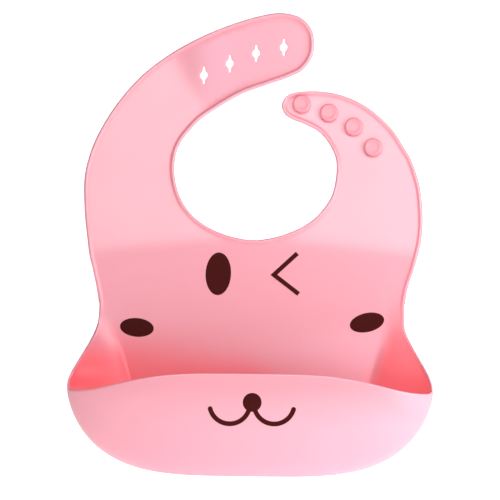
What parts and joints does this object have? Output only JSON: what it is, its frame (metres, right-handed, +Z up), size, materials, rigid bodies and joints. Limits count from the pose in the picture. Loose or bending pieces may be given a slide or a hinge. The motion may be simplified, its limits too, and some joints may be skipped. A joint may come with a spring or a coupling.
{
  "type": "silicone bib",
  "caption": "Soft silicone bib with a round neck opening, a buttoned neck strap, slit holes and studs, and a deep stand-up food catcher across the bottom.",
  "frame": {"origin": "on the sheet's flat back face, on the centre line, level with the narrowest part of the sides just above the waist's flexing line", "axes": "+Z up, +X to the viewer's right when facing the bib, -Y towards the viewer, so the back face lies in the plane Y = 0"},
  "size_m": [0.2366, 0.0867, 0.3016],
  "materials": {
    "bib_silicone": "satin",
    "motif_silicone": "satin"
  },
  "bodies": {
    "chest": {"chest_panel": "bib_silicone", "eye_motif_open": "motif_silicone", "eye_motif_wink": "motif_silicone"},
    "apron": {"apron_lower_panel": "bib_silicone", "catcher_floor": "bib_silicone", "cheek_motif_left": "motif_silicone", "cheek_motif_right": "motif_silicone"},
    "left_gusset": {"gusset_left": "bib_silicone"},
    "right_gusset": {"gusset_right": "bib_silicone"},
    "front_wall": {"catcher_front_wall": "bib_silicone", "nose_mouth_motif": "motif_silicone"},
    "hole_shoulder": {"left_shoulder": "bib_silicone"},
    "hole_side": {"hole_strap_side": "bib_silicone"},
    "hole_crown": {"hole_strap_crown": "bib_silicone"},
    "hole_tip": {"hole_strap_tip": "bib_silicone"},
    "stud_shoulder": {"right_shoulder": "bib_silicone"},
    "stud_side": {"stud_strap_side": "bib_silicone"},
    "stud_tip": {"stud_strap_tip": "bib_silicone", "stud_1": "bib_silicone", "stud_2": "bib_silicone", "stud_3": "bib_silicone", "stud_4": "bib_silicone"}
  },
  "joints": [
    {"name": "waist_fold", "type": "hinge", "parent": "chest", "child": "apron", "pos_m": [0, -0.003, -0.004], "axis": [-1, 0, 0], "range_deg": [-18, 100], "stiffness_Nm_per_rad": 0.5},
    {"name": "front_wall_flex", "type": "hinge", "parent": "apron", "child": "front_wall", "pos_m": [0, -0.013, -0.1069], "axis": [1, 0, 0], "range_deg": [-7, 16], "stiffness_Nm_per_rad": 0.6},
    {"name": "left_gusset_swing", "type": "hinge", "parent": "apron", "child": "left_gusset", "pos_m": [-0.078, -0.001, -0.054], "axis": [-0.2516, 0, 0.9678], "range_deg": [-2.8, 6.4]},
    {"name": "right_gusset_swing", "type": "hinge", "parent": "apron", "child": "right_gusset", "pos_m": [0.078, -0.001, -0.054], "axis": [-0.2516, 0, -0.9678], "range_deg": [-2.8, 6.4]},
    {"name": "hole_strap_wrap", "type": "hinge", "parent": "chest", "child": "hole_shoulder", "pos_m": [-0.1055, -0.001, 0.031], "axis": [-0.9932, 0, -0.1165], "range_deg": [-8, 30], "stiffness_Nm_per_rad": 0.3},
    {"name": "hole_side_bend", "type": "hinge", "parent": "hole_shoulder", "child": "hole_side", "pos_m": [-0.10937, 0.00942, 0.07991], "axis": [-0.9992, 0.0172, -0.0357], "range_deg": [-5.6, 21]},
    {"name": "hole_crown_bend", "type": "hinge", "parent": "hole_side", "child": "hole_crown", "pos_m": [-0.10029, 0.01571, 0.11076], "axis": [-0.9932, 0.0471, 0.1065], "range_deg": [-4.8, 18]},
    {"name": "hole_tip_bend", "type": "hinge", "parent": "hole_crown", "child": "hole_tip", "pos_m": [-0.05367, 0.02563, 0.16322], "axis": [-0.4824, 0.1924, 0.8546], "range_deg": [-6.4, 24]},
    {"name": "stud_strap_wrap", "type": "hinge", "parent": "chest", "child": "stud_shoulder", "pos_m": [0.108, -0.001, 0.033], "axis": [-0.9954, 0, 0.0955], "range_deg": [-8, 36], "stiffness_Nm_per_rad": 0.3},
    {"name": "stud_side_bend", "type": "hinge", "parent": "stud_shoulder", "child": "stud_side", "pos_m": [0.11043, 0.00609, 0.06626], "axis": [-0.9996, -0.0232, -0.0136], "range_deg": [-5.6, 25.2]},
    {"name": "stud_tip_bend", "type": "hinge", "parent": "stud_side", "child": "stud_tip", "pos_m": [0.10337, 0.01195, 0.09465], "axis": [-0.9989, -0.0283, -0.0378], "range_deg": [-6.4, 28.8]}
  ],
  "couplings": [
    {"joint": "left_gusset_swing", "follows": "front_wall_flex", "ratio": 0.4},
    {"joint": "right_gusset_swing", "follows": "front_wall_flex", "ratio": 0.4},
    {"joint": "hole_side_bend", "follows": "hole_strap_wrap", "ratio": 0.7},
    {"joint": "hole_crown_bend", "follows": "hole_strap_wrap", "ratio": 0.6},
    {"joint": "hole_tip_bend", "follows": "hole_strap_wrap", "ratio": 0.8},
    {"joint": "stud_side_bend", "follows": "stud_strap_wrap", "ratio": 0.7},
    {"joint": "stud_tip_bend", "follows": "stud_strap_wrap", "ratio": 0.8}
  ]
}
